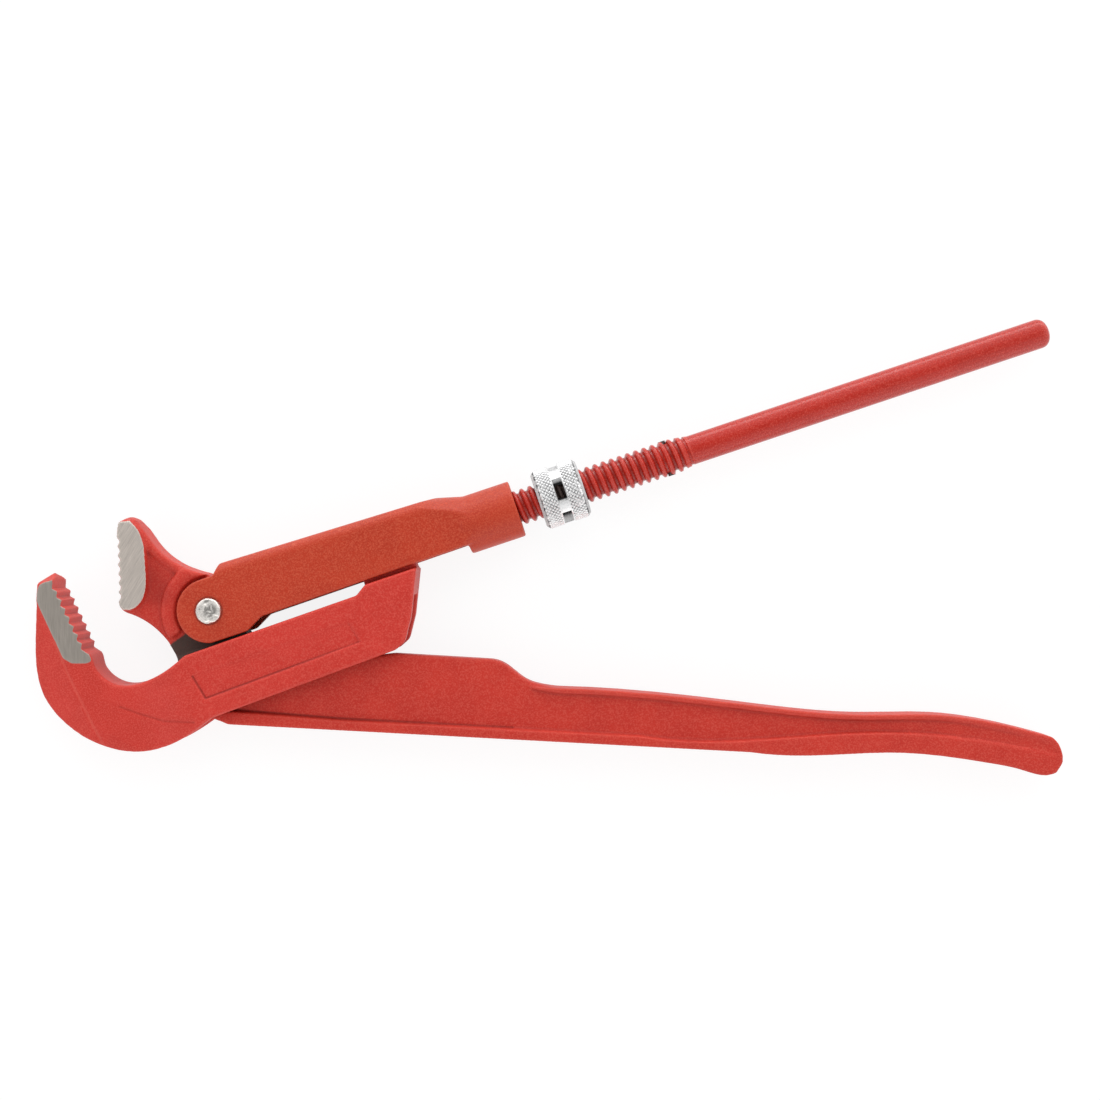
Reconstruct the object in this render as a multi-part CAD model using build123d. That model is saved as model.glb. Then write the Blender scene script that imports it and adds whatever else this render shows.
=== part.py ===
from build123d import *
import os
from math import cos, radians, sin

os.makedirs("parts", exist_ok=True)

# A 90 degree pipe wrench of the Swedish pattern, lying on its side.
# Sizes are in millimetres. X runs along the round handle rod towards its free end, Y is up in the
# plane of the jaws and Z is the thickness. Places are measured from the pivot rivet at mid thickness.

# Round handle rod with its thread, set in the end block of the hook jaw frame
rod_diameter = 12.0
rod_end = 357.5
rod_end_rounding = 3.5
thread_diameter = 14.5
thread_root_diameter = 11.6
thread_pitch = 3.5
thread_ridge_width = 2.9
thread_ridge_sink = 0.2
thread_crest_width = 1.6
thread_crest_rise = 0.55
thread_end = 204.5
thread_runout = 8.0
spigot_diameter = 10.0
spigot_length = 16.0

# Stop pin across the thread, which keeps the nut on the rod
pin_diameter = 3.0
pin_place = 194.3

# Knurled adjusting nut
nut_diameter = 24.8
nut_length = 19.0
nut_chamfer = 1.6
nut_gap = 9.2
nut_band_width = 4.6
nut_band_depth = 0.5
window_length = 3.9
window_width = 9.6
window_count = 5
window_turn = -7.0
thread_clearance = 0.25

# Forked sleeve link, which slides on the thread and carries the rivet
link_thickness = 22.5
link_wall = 3.55
ear_radius = 12.95
ear_flat = 12.55
ear_flat_end = 12.0
link_underside_start = 19.3
link_underside = 8.8
link_underside_at_sleeve = 7.8
link_step_start = 5.8
link_step_end = 9.4
link_top = 16.9
link_top_at_sleeve = 14.3
link_edge_rounding = 4.5
sleeve_start = 110.5
sleeve_length = 19.5
sleeve_diameter = 23.4
sleeve_cone_start = 84.0
sleeve_cone_radius = 19.0
sleeve_fit = 0.10

# Pivot rivet
rivet_diameter = 8.0
rivet_head_diameter = 10.6
rivet_head_height = 2.3
rivet_tail_diameter = 10.0
rivet_tail_height = 1.0
pivot_fit = 0.06

# Hook jaw frame: hook jaw, two side plates with a slot between them, and the end block
frame_thickness = 25.0
slot_width = 14.0
slot_start = -37.0
ear_clearance = 0.4
shoulder_drop = 1.0
shoulder_start = -15.0
rise_start = 58.0
rise_end = 62.7
plate_rise = 9.9
plate_right_top = 84.4
plate_right_mid = (76.3, -27.8)
plate_right_low = (70.7, -36.6)
plate_corner_rounding = 4.0
plate_bottom_right = (66.0, -38.6)
plate_bottom_left = (-12.5, -41.1)
plate_edge_rounding = 1.0
block_start = 62.0
block_end = 84.0
block_bottom = -20.0
block_top = 7.6
block_clearance = 0.5
hook_thickness = 16.2
hook_taper_start = -18.0
hook_taper_end = -42.0
pad_proud = 0.4
panel_top_depth = 0.25
panel_slope = 3.0
panel_top = [(-14.6, -22.5), (52.5, -21.8)]
panel_foot = [(-12.4, -33.3), (53.9, -31.3)]

# Hook outline: tip, teeth, throat and back
hook_tip_back = (-62.7, 32.8)
hook_tip_top = (-56.8, 35.3)
hook_tip_front = (-55.9, 32.2)
hook_roof_eaves = [(-62.9, 32.1), (-56.0, 31.7)]
hook_roof_slope = 68.0
hook_teeth_first = (-57.4, 28.5)
hook_teeth_last = (-54.15, 1.8)
hook_teeth_count = 8
hook_tooth_depth = 1.5
hook_lip = [(-51.5, -1.4), (-51.2, -3.4), (-51.5, -6.0)]
throat = [(-50.1, -10.8), (-44.0, -17.0), (-34.4, -18.7), (-24.5, -17.4)]
hook_back = [(-27.2, -45.4), (-38.5, -46.1), (-49.7, -43.3), (-66.2, -30.6), (-75.7, -11.0), (-70.2, 13.9)]
facet_ridge_low = (-59.9, -37.0)
facet_ridge_high = (-64.6, 27.4)
facet_slope = 13.5
crease_right = (-16.5, -41.4)
crease_left = (-42.4, -28.5)
crease_left_height = 10.5
crease_slope = 10.0
hook_pad = [(-61.0, 32.3), (-65.4, 27.4), (-62.1, 0.7), (-59.3, -2.3), (-53.6, -4.2), (-51.0, -3.6)]

# Jaw lever: toothed jaw, hub, neck and handle in one forging
jaw_teeth_first = (-26.35, 39.95)
jaw_teeth_last = (-33.7, 15.2)
jaw_teeth_count = 8
jaw_tooth_depth = 1.25
jaw_top_front = (-23.8, 46.1)
jaw_top_back = (-20.6, 47.2)
jaw_back = [(-18.2, 45.3), (-16.1, 40.9), (-12.8, 30.7), (-5.1, 20.3), (2.9, 14.6)]
jaw_roof_eaves = [(-23.8, 45.6), (-19.6, 44.9)]
jaw_roof_slope = 77.0
jaw_lip = [(-34.4, 13.4), (-34.2, 10.6)]
jaw_belly = [(-27.7, 5.05), (-22.0, -4.0)]
jaw_pad_back = [(-19.4, 45.2), (-16.9, 37.7), (-19.2, 24.1), (-22.2, 15.6), (-26.6, 11.1), (-30.6, 10.2)]
jaw_pad_lip = [(-34.0, 13.4), (-33.4, 11.4)]
jaw_thickness = 17.0
dish_thickness = 11.0
rim_thickness = 14.8
rim_width = 3.2
rim_top = 41.5
rim_facing = 37.0
ring_inner_radius = 14.3
ring_outer_radius = 20.0
ring_thickness = 17.2
ring_start_angle = 68.0
ring_end_angle = 197.0
hub_radius = 12.5
hub_clearance = 0.5
neck_left = (-19.5, -14.4)
neck_foot = (-13.3, -41.5)
neck_heel = (-8.2, -45.9)
neck_right = [(10.0, -12.5), (17.0, -24.0), (30.0, -33.0)]
handle_clearance = 0.5
web_depth = 2.2
web_fade_start = 235.0
web_depth_at_end = 0.5
handle_top = [(64.2, -40.1), (101.0, -54.9)]
handle_hump = [(106.4, -59.4), (111.5, -66.9), (117.5, -71.4), (125.3, -75.2)]
handle_grip_top = [(195.6, -106.0), (235.4, -123.3), (264.8, -133.2), (297.6, -150.9)]
handle_tip = [(305.8, -156.4), (307.6, -161.8), (306.4, -167.4)]
handle_tip_low = (302.6, -170.7)
handle_grip_low = [(296.0, -169.3), (290.6, -165.6), (278.3, -158.3), (245.1, -142.8), (210.4, -132.4),
                   (187.9, -123.4)]
lower_flange = [(-11.0, -38.9), (35.1, -58.6), (148.0, -103.1)]
lower_flange_grip = [(181.3, -116.4), (213.0, -124.8), (253.5, -137.3), (281.1, -150.2), (304.5, -163.6)]
upper_flange_width = 2.0
upper_flange_taper = 45.0
web_inner = [(14.0, -31.0), (36.0, -28.0)]


def slab(face, thickness):
    """A face given its thickness evenly about the mid plane."""
    return extrude(face, amount=thickness / 2, both=True)


def both_sides(solid):
    """A detail of the front, with its mirror image on the back."""
    return solid + mirror(solid, about=Plane.XY)


def layer(face, low, high):
    """A face made solid between two heights."""
    return Pos(0, 0, low) * extrude(face, amount=high - low)


def polygon(points):
    return make_face(Polyline(*points, close=True))


def toothed(first, last, count, depth):
    """Points of a tooth row from first to last, with the points between them depth to the right."""
    step = Vector(last[0] - first[0], last[1] - first[1]) / (count - 1)
    across = Vector(-step.Y, step.X).normalized() * depth
    points = []
    for index in range(count):
        corner = Vector(*first) + step * index
        points.append((corner.X, corner.Y))
        if index < count - 1:
            between = corner + step / 2 + across
            points.append((between.X, between.Y))
    return points


def facet(first, second, slope):
    """Block over a facet that falls away, at a slope, on the left of the line from first to second."""
    line = (Vector(*second) - Vector(*first)).normalized()
    left = Vector(-line.Y, line.X).normalized() * cos(radians(slope))
    fall = left - Vector(0, 0, sin(radians(slope)))
    block = Box(reach, reach, reach, align=(Align.CENTER, Align.CENTER, Align.MIN))
    return Plane(origin=first, x_dir=line, z_dir=line.cross(fall)) * block


def roof(eaves, height, slope):
    """Block over one slope of a gable, which rises from its eaves at a height to mid thickness."""
    return facet((*eaves[0], height), (*eaves[1], height), slope)


def along_rod(solid):
    """A solid made along Z, laid along the rod axis."""
    return Rot(0, 90, 0) * solid


def rod_cylinder(diameter, start, end):
    low = (Align.CENTER, Align.CENTER, Align.MIN)
    return Pos(start, 0, 0) * along_rod(Cylinder(diameter / 2, end - start, align=low))


def thread_ridge(clearance, start, end):
    """The helical ridge between two places on the rod, grown by a clearance."""
    root = thread_root_diameter / 2
    sink = thread_ridge_sink
    crest = (thread_diameter - thread_root_diameter) / 2 + clearance
    foot = thread_ridge_width / 2 + clearance
    brow = thread_crest_width / 2 + clearance
    turns_before = round((start - block_end) / thread_pitch) - 1
    first = block_end + turns_before * thread_pitch
    helix = Helix(thread_pitch, end - first + thread_pitch, root)
    section = make_face(
        [
            Line((-sink, -foot), (-sink, foot)),
            Line((-sink, foot), (crest - thread_crest_rise, brow)),
            ThreePointArc((crest - thread_crest_rise, brow), (crest, 0), (crest - thread_crest_rise, -brow)),
            Line((crest - thread_crest_rise, -brow), (-sink, -foot)),
        ]
    )
    plane = Plane(origin=helix @ 0, x_dir=(1, 0, 0), z_dir=helix % 0)
    ridge = sweep(plane * section, path=helix, is_frenet=True)
    return Pos(first, 0, 0) * along_rod(ridge)


# Sizes that follow from the driving ones
mid = frame_thickness / 2
link_gap = link_thickness - 2 * link_wall
ear_side = link_thickness / 2
sleeve_end = sleeve_start + sleeve_length
nut_start = sleeve_end + nut_gap
nut_end = nut_start + nut_length
bore_diameter = thread_diameter + 2 * sleeve_fit
hub_thickness = link_gap - 2 * hub_clearance
handle_thickness = slot_width - 2 * handle_clearance
block_thickness = link_gap - 2 * block_clearance
plate_top = -ear_flat - ear_clearance
rim_angle = radians(rim_facing)
reach = 2 * rod_end


def threaded_handle_rod():
    """Round handle with the adjusting thread and the spigot that holds it in the end block."""
    thread = rod_cylinder(thread_root_diameter, block_end - thread_pitch, thread_end + thread_pitch)
    thread += thread_ridge(0, block_end, thread_end)
    runout = polygon(
        [
            (block_end, 0),
            (block_end, thread_diameter),
            (thread_end - thread_runout, thread_diameter / 2 + thread_clearance),
            (thread_end, thread_root_diameter / 2 + thread_clearance),
            (thread_end, 0),
        ]
    )
    thread &= revolve(runout, Axis.X)
    grip = rod_cylinder(rod_diameter, thread_end, rod_end)
    grip = fillet(grip.edges().sort_by(Axis.X)[-1], rod_end_rounding)
    spigot = rod_cylinder(spigot_diameter, block_end - spigot_length, block_end)
    pin_hole = Rot(90, 0, 0) * Cylinder(pin_diameter / 2, 2 * thread_diameter)
    return thread + grip + spigot - Pos(pin_place, 0, 0) * pin_hole


def nut_stop_pin():
    """Plain pin across the rod, flush with the thread crests."""
    return Pos(pin_place, 0, 0) * Rot(90, 0, 0) * Cylinder(pin_diameter / 2, thread_diameter)


def adjusting_nut():
    """Round nut with two knurled lands, a band between them and windows through the band."""
    nut = rod_cylinder(nut_diameter, nut_start, nut_end)
    nut = chamfer(nut.edges(), nut_chamfer)
    middle = (nut_start + nut_end) / 2
    band = rod_cylinder(2 * nut_diameter, middle - nut_band_width / 2, middle + nut_band_width / 2)
    band -= rod_cylinder(nut_diameter - 2 * nut_band_depth, nut_start, nut_end)
    nut -= band
    for index in range(window_count):
        window = Box(window_length, window_width, nut_diameter, align=(Align.CENTER, Align.CENTER, Align.MIN))
        nut -= Pos(middle, 0, 0) * Rot(window_turn + index * 360 / window_count, 0, 0) * window
    bore = rod_diameter + 2 * thread_clearance
    inside = rod_cylinder(bore, nut_start - thread_pitch, nut_end + thread_pitch)
    return nut - (inside + thread_ridge(thread_clearance, nut_start, nut_end))


def link_side():
    """Side view of the link, from the ear round the rivet to the sleeve."""
    ear = Circle(ear_radius) & Pos(0, -ear_flat) * Rectangle(
        2 * ear_radius, 2 * ear_radius + ear_flat, align=(Align.CENTER, Align.MIN)
    )
    cheek = polygon(
        [
            (0, ear_radius),
            (link_step_start, ear_radius),
            (link_step_end, link_top),
            (sleeve_start, link_top_at_sleeve),
            (sleeve_start, -link_underside_at_sleeve),
            (link_underside_start, -link_underside),
            (ear_flat_end, -ear_flat),
            (0, -ear_flat),
        ]
    )
    return ear + cheek


def sleeve_cone(inset):
    """Room in which the link narrows to its sleeve, outside or at an inset from it."""
    half = polygon(
        [
            (-2 * ear_radius, 0),
            (-2 * ear_radius, 2 * ear_radius),
            (sleeve_cone_start, sleeve_cone_radius - inset),
            (sleeve_start, sleeve_diameter / 2 - inset),
            (sleeve_start, 0),
        ]
    )
    return revolve(half, Axis.X)


def sleeve_link():
    """Fork with two ears, a closed back over the rod and a sleeve at its end."""
    body = slab(link_side(), link_thickness)
    back_edges = body.edges().filter_by(lambda edge: edge.center().Y > link_top_at_sleeve - 1)
    back_edges = back_edges.filter_by(lambda edge: link_step_end < edge.center().X < sleeve_start - 1)
    body = fillet(back_edges, link_edge_rounding)
    body &= sleeve_cone(0)
    body += rod_cylinder(sleeve_diameter, sleeve_start - link_wall, sleeve_end)
    inner_fall = (link_top - link_top_at_sleeve) / (sleeve_start - link_step_end)
    channel_end = sleeve_start - link_wall
    channel = polygon(
        [
            (-2 * ear_radius, -2 * ear_radius),
            (-2 * ear_radius, 2 * ear_radius),
            (link_step_end - link_wall, 2 * ear_radius),
            (link_step_end - link_wall, link_top - link_wall),
            (channel_end, link_top - link_wall - inner_fall * (channel_end - link_step_end)),
            (channel_end, -2 * ear_radius),
        ]
    )
    body -= slab(channel, link_gap) & sleeve_cone(link_wall)
    body -= rod_cylinder(bore_diameter, 0, sleeve_end)
    return body - Cylinder(rivet_diameter / 2, 2 * link_thickness)


def pivot_rivet():
    """Rivet with a domed head in front and a low spread tail behind."""
    shank = Cylinder(rivet_diameter / 2, link_thickness)
    dome_radius = ((rivet_head_diameter / 2) ** 2 + rivet_head_height**2) / (2 * rivet_head_height)
    head = Pos(0, 0, ear_side + rivet_head_height - dome_radius) * Sphere(dome_radius)
    head &= Pos(0, 0, ear_side) * Cylinder(
        rivet_head_diameter, link_thickness, align=(Align.CENTER, Align.CENTER, Align.MIN)
    )
    tail = Pos(0, 0, -ear_side - rivet_tail_height / 2) * Cone(
        rivet_tail_diameter / 2 - rivet_tail_height, rivet_tail_diameter / 2, rivet_tail_height
    )
    return shank + head + tail


def frame_side():
    """Side view of the hook jaw and its plates, tip first and clockwise."""
    teeth = toothed(hook_teeth_first, hook_teeth_last, hook_teeth_count, hook_tooth_depth)
    front = Polyline(hook_tip_back, hook_tip_top, hook_tip_front, *teeth, *hook_lip)
    shoulder = (shoulder_start, plate_top - shoulder_drop)
    bowl = Spline(hook_lip[-1], *throat, shoulder)
    plate = Polyline(
        shoulder,
        (rise_start, plate_top),
        (rise_end, -plate_rise),
        (plate_right_top, -plate_rise),
        plate_right_mid,
        plate_right_low,
        plate_bottom_right,
        plate_bottom_left,
    )
    back = Spline(plate_bottom_left, *hook_back, hook_tip_back)
    outline = make_face([*front.edges(), bowl, *plate.edges(), back])
    return fillet(outline.vertices().sort_by_distance((*plate_right_low, 0))[0], plate_corner_rounding)


def hook_jaw_frame():
    """Hook jaw, side plates and the end block that carries the rod."""
    side = frame_side()
    body = slab(side, frame_thickness)
    hook_half = hook_thickness / 2
    swell = Spline(
        (hook_taper_end, hook_half), (hook_taper_start, mid), tangents=[(1, 0), (1, 0)]
    )
    half = make_face(
        [
            swell,
            *Polyline((hook_taper_start, mid), (reach, mid), (reach, 0), (-reach, 0), (-reach, hook_half),
                      (hook_taper_end, hook_half)).edges(),
        ]
    )
    body &= both_sides(extrude(Plane.XZ * half, amount=reach, both=True))

    back_facet = facet((*facet_ridge_low, hook_half), (*facet_ridge_high, hook_half), facet_slope)
    heel_facet = facet((*crease_right, mid), (*crease_left, crease_left_height), crease_slope)
    body -= both_sides(back_facet)
    body -= both_sides(heel_facet)

    pad = side & polygon([*hook_pad, (0, hook_pad[-1][1]), (0, hook_tip_top[1]), hook_tip_top])
    body += slab(pad, hook_thickness + 2 * pad_proud)
    body -= both_sides(roof(hook_roof_eaves, hook_half + pad_proud, hook_roof_slope))
    slot = polygon(
        [
            (slot_start, -reach),
            (slot_start, reach),
            (block_start, reach),
            (block_start, block_bottom),
            (reach, block_bottom),
            (reach, -reach),
        ]
    )
    body -= slab(slot, slot_width)
    block = polygon(
        [
            (block_start, -plate_rise),
            (block_start, block_top),
            (block_end, block_top),
            (block_end, -plate_rise),
        ]
    )
    body += slab(block, block_thickness)
    body -= rod_cylinder(spigot_diameter, block_end - spigot_length, reach)

    broad_faces = body.faces().filter_by(Axis.Z).sort_by(Axis.Z)
    broad_edges = broad_faces[0].outer_wire().edges() + broad_faces[-1].outer_wire().edges()
    body = fillet(broad_edges, plate_edge_rounding)
    panel_rim = mid - panel_top_depth
    panel_floor = facet((*panel_top[1], panel_rim), (*panel_top[0], panel_rim), panel_slope)
    panel = polygon([*panel_top, *reversed(panel_foot)])
    return body - (layer(panel, 0, 2 * mid) & panel_floor)


def jaw_outline(front):
    """Side view of the jaw head down to the neck, with its toothed front or its pad line."""
    back = Spline(jaw_top_back, *jaw_back)
    belly = Spline(jaw_lip[-1], *jaw_belly, neck_left)
    bottom = Polyline(neck_left, (neck_right[0][0], neck_left[1]), (hub_radius, 0), jaw_back[-1])
    return make_face([*front.edges(), back, *bottom.edges(), belly])


def handle_outline():
    """Side view of the neck and the handle."""
    edges = [
        *Polyline(neck_left, (neck_right[0][0], neck_left[1]), *neck_right, *handle_top).edges(),
        Spline(handle_top[-1], *handle_hump),
        Spline(handle_hump[-1], *handle_grip_top, handle_tip[0]),
        ThreePointArc(*handle_tip),
        Line(handle_tip[-1], handle_tip_low),
        Spline(handle_tip_low, *handle_grip_low),
        *Polyline(handle_grip_low[-1], neck_heel, neck_foot, neck_left).edges(),
    ]
    return make_face(edges)


def jaw_lever():
    """Toothed jaw, hub, neck and I section handle in one forging."""
    teeth = toothed(jaw_teeth_first, jaw_teeth_last, jaw_teeth_count, jaw_tooth_depth)
    front = Polyline(jaw_top_back, jaw_top_front, *teeth, *jaw_lip)
    head = jaw_outline(front)
    body = slab(head, dish_thickness)
    pad_front = Polyline(jaw_pad_back[0], jaw_top_back, jaw_top_front, *teeth, *jaw_pad_lip, jaw_pad_back[-1])
    pad = make_face([*pad_front.edges(), Spline(*jaw_pad_back)])
    body += slab(pad, jaw_thickness)
    body -= both_sides(roof(jaw_roof_eaves, jaw_thickness / 2, jaw_roof_slope))
    ring = Circle(ring_outer_radius) - Circle(ring_inner_radius)
    start = radians(ring_start_angle)
    end = radians(ring_end_angle)
    far = 2 * ring_outer_radius
    sector = polygon(
        [
            (0, 0),
            (far * cos(start), far * sin(start)),
            (-far, far),
            (far * cos(end), far * sin(end)),
        ]
    )
    body += slab(ring & sector & head, ring_thickness)
    rim = head - Pos(-rim_width * cos(rim_angle), -rim_width * sin(rim_angle)) * head
    rim &= polygon([(-far, rim_top), (far, rim_top), (far, ring_inner_radius), (-far, ring_inner_radius)])
    body += slab(rim, rim_thickness)
    body += Cylinder(hub_radius, hub_thickness)
    handle = slab(handle_outline(), handle_thickness)
    body += handle - web_pocket(1) - web_pocket(-1)
    return body - Cylinder(rivet_diameter / 2 + pivot_fit, 2 * hub_thickness)


def web_pocket(side):
    """Hollow of the I section on the front (1) or back (-1) of the handle, shallow towards the tip."""
    outline = handle_outline()
    fall = Vector(handle_grip_top[0][1] - handle_hump[-1][1], handle_hump[-1][0] - handle_grip_top[0][0])
    fall = fall.normalized() * upper_flange_width
    below_flange = Pos(fall.X, fall.Y) * outline
    hump_end = Vector(*handle_hump[-1])
    along = Vector(fall.Y, -fall.X).normalized()
    taper_end = hump_end + along * upper_flange_taper + fall
    before_flange = polygon(
        [
            (-reach, -reach),
            (-reach, reach),
            (hump_end.X, reach),
            (hump_end.X, hump_end.Y),
            (taper_end.X, taper_end.Y),
            (taper_end.X, -reach),
        ]
    )
    ends = Polyline(
        lower_flange_grip[-1],
        (reach, lower_flange_grip[-1][1]),
        (reach, 0),
        (web_inner[-1][0], 0),
        *reversed(web_inner),
        *lower_flange,
    )
    over_flange = make_face([*ends.edges(), Spline(lower_flange[-1], *lower_flange_grip)])
    hollow = over_flange & ((outline & before_flange) + below_flange)
    face = handle_thickness / 2
    room = polygon(
        [
            (-reach, side * (face - web_depth)),
            (web_fade_start, side * (face - web_depth)),
            (lower_flange_grip[-1][0], side * (face - web_depth_at_end)),
            (reach, side * (face - web_depth_at_end)),
            (reach, side * handle_thickness),
            (-reach, side * handle_thickness),
        ]
    )
    return extrude(hollow, amount=side * handle_thickness) & extrude(Plane.XZ * room, amount=reach, both=True)


parts = {
    "hook_jaw_frame": hook_jaw_frame(),
    "threaded_handle_rod": threaded_handle_rod(),
    "nut_stop_pin": nut_stop_pin(),
    "adjusting_nut": adjusting_nut(),
    "sleeve_link": sleeve_link(),
    "pivot_rivet": pivot_rivet(),
    "jaw_lever": jaw_lever(),
}

# The finished pieces stand on the plates' back, with the origin at the bottom centre of the whole tool
box = Compound(list(parts.values())).bounding_box()
place = Pos(-box.center().X, -box.center().Y, -box.min.Z)
for name, solid in parts.items():
    piece = place * solid
    export_step(piece, f"parts/{name}.step")
    print(name, piece.is_valid, len(piece.solids()), round(piece.volume), piece.bounding_box().size)
print("rivet axis at", place.position)
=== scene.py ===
# %% [markdown]
# # A red pipe wrench
# The solids of this wrench come from the CAD model, and this script dresses them: it softens the
# forgings, cuts the knurl of the nut, hammers the rivet and mixes the finishes. Every piece keeps the
# place that the CAD model gives it, in metres, with the round handle along X and the tool lying on its
# side on a floor at height zero.

# %% Open the frame
import math

import bmesh
import bpy
from mathutils import Matrix, Vector, noise


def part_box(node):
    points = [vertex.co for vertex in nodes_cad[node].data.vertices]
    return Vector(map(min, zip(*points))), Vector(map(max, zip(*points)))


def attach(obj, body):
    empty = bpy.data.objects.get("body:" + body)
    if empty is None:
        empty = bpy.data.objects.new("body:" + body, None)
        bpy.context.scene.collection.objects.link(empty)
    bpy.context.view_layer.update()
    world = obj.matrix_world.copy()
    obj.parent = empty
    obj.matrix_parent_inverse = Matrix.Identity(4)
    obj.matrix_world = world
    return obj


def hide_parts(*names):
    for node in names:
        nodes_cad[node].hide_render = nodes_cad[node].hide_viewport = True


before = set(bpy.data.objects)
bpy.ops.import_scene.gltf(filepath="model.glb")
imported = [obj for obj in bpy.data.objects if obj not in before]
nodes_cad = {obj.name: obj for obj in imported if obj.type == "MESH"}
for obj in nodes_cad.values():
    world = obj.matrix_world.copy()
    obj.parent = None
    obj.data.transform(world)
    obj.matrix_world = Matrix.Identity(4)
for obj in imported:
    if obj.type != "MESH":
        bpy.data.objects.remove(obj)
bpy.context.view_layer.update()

print("pieces of the wrench:", sorted(nodes_cad))

# %% [markdown]
# ## Where things are
# Nearly everything on the tool is measured from the pivot rivet, because the lever swings about it, and
# from the middle of the thickness. The CAD boxes give both. Pads and lines further down are written in
# millimetres from that pivot.

# %% Read the pivot, the mid height and the nut's place from the boxes
millimetre = 0.001
rivet_low, rivet_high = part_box("pivot_rivet")
frame_low, frame_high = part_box("hook_jaw_frame")
nut_low, nut_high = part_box("adjusting_nut")
mid_height = (frame_low.z + frame_high.z) / 2
pivot = Vector(((rivet_low.x + rivet_high.x) / 2, (rivet_low.y + rivet_high.y) / 2, mid_height))
nut_half = (nut_high.x - nut_low.x) / 2
nut_from_pivot = (nut_low.x + nut_high.x) / 2 - pivot.x
print("pivot at", [round(v / millimetre, 2) for v in pivot], "mm")
print("nut centred", round(nut_from_pivot / millimetre, 2), "mm along the rod from it")

# %% [markdown]
# ## Small helpers for node trees
# A finish is a tree of shader nodes. A few helpers keep the recipes short: they add a node and set its
# sockets, do arithmetic on sockets or plain numbers, step smoothly between two values, and blend.


# %% Helpers that add nodes and do sums
def add_node(tree, kind, sockets=None, **settings):
    """Add a node, set its attributes, then its input sockets by name or number."""
    node = tree.nodes.new(kind)
    for name, value in settings.items():
        setattr(node, name, value)
    for name, value in (sockets or {}).items():
        if isinstance(value, bpy.types.NodeSocket):
            tree.links.new(value, node.inputs[name])
        else:
            node.inputs[name].default_value = value
    return node


def sums(tree, operation, first, second=0.0, third=0.0, clamp=False):
    """One Math node on sockets or plain numbers; gives its output socket."""
    node = add_node(tree, "ShaderNodeMath", {0: first, 1: second, 2: third}, operation=operation)
    node.use_clamp = clamp
    return node.outputs[0]


def times(tree, first, second):
    """The product of two sockets or numbers."""
    return sums(tree, "MULTIPLY", first, second)


def length_of(tree, first, second):
    """How long a line is that runs this far one way and this far across it."""
    return sums(tree, "SQRT", sums(tree, "MULTIPLY_ADD", first, first, times(tree, second, second)))


def noise_at(tree, where, scale, detail, roughness=0.5):
    """The strength of a noise at a place, with its scale in ripples a metre."""
    sockets = {"Vector": where, "Scale": scale, "Detail": detail, "Roughness": roughness}
    return add_node(tree, "ShaderNodeTexNoise", sockets).outputs["Fac"]


print("node helpers ready")


# %% Helpers that step and blend
def ramp_between(tree, value, low, high):
    """0 at low, 1 at high and a smooth step between them."""
    node = add_node(tree, "ShaderNodeMapRange", {"Value": value, "From Min": low, "From Max": high})
    node.interpolation_type = "SMOOTHSTEP"
    return node.outputs["Result"]


def ramp_mm(tree, value, low_mm, high_mm):
    """The same smooth step with its ends in millimetres."""
    return ramp_between(tree, value, low_mm * millimetre, high_mm * millimetre)


def spread(tree, value, low, high):
    """Stretch a value from 0 to 1 evenly over another range."""
    return add_node(tree, "ShaderNodeMapRange", {"Value": value, "To Min": low, "To Max": high}).outputs["Result"]


def mix_colour(tree, amount, first, second):
    """Blend two colours by an amount from 0 to 1."""
    node = tree.nodes.new("ShaderNodeMix")
    node.data_type = "RGBA"
    for socket, value in ((node.inputs["Factor"], amount), (node.inputs[6], first), (node.inputs[7], second)):
        if isinstance(value, bpy.types.NodeSocket):
            tree.links.new(value, socket)
        elif isinstance(value, float):
            socket.default_value = value
        else:
            socket.default_value = (*value, 1.0)
    return node.outputs[2]


def mix_value(tree, amount, first, second):
    """Blend two plain values by an amount from 0 to 1."""
    sockets = {"Factor": amount, 2: first, 3: second}
    return add_node(tree, "ShaderNodeMix", sockets, data_type="FLOAT").outputs[0]


def shade_of(colour, share):
    """A colour made darker or paler by one share."""
    return tuple(c * share for c in colour)


print("blending helpers ready")

# %% [markdown]
# ## Effects that several finishes share
# Powder coat has a fine orange peel and is never one even colour, and ground steel has parallel lines from the
# wheel. Edges are painted paler, partly as wear and partly as a painted highlight, and hollows are painted darker,
# partly as dusty dirt and partly as painted shade.
# Each effect is a node group that puts out masks and heights, so that each finish mixes in as much as it
# needs.


# %% Start a node group with named sockets
def start_group(name, inputs, outputs):
    """An empty node group; inputs are (name, default) pairs and outputs are names."""
    group = bpy.data.node_groups.new(name, "ShaderNodeTree")
    for socket_name, default in inputs:
        socket = group.interface.new_socket(socket_name, in_out="INPUT", socket_type="NodeSocketFloat")
        socket.default_value = default
    for socket_name in outputs:
        group.interface.new_socket(socket_name, in_out="OUTPUT", socket_type="NodeSocketFloat")
    return group, group.nodes.new("NodeGroupInput"), group.nodes.new("NodeGroupOutput")


# %% Orange peel and uneven colour of a powder coat
mm_per_metre = 1000.0
grit_scale, cloud_scale, speck_scale = 2600.0, 60.0, 1700.0
grit_share = 0.35


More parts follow.
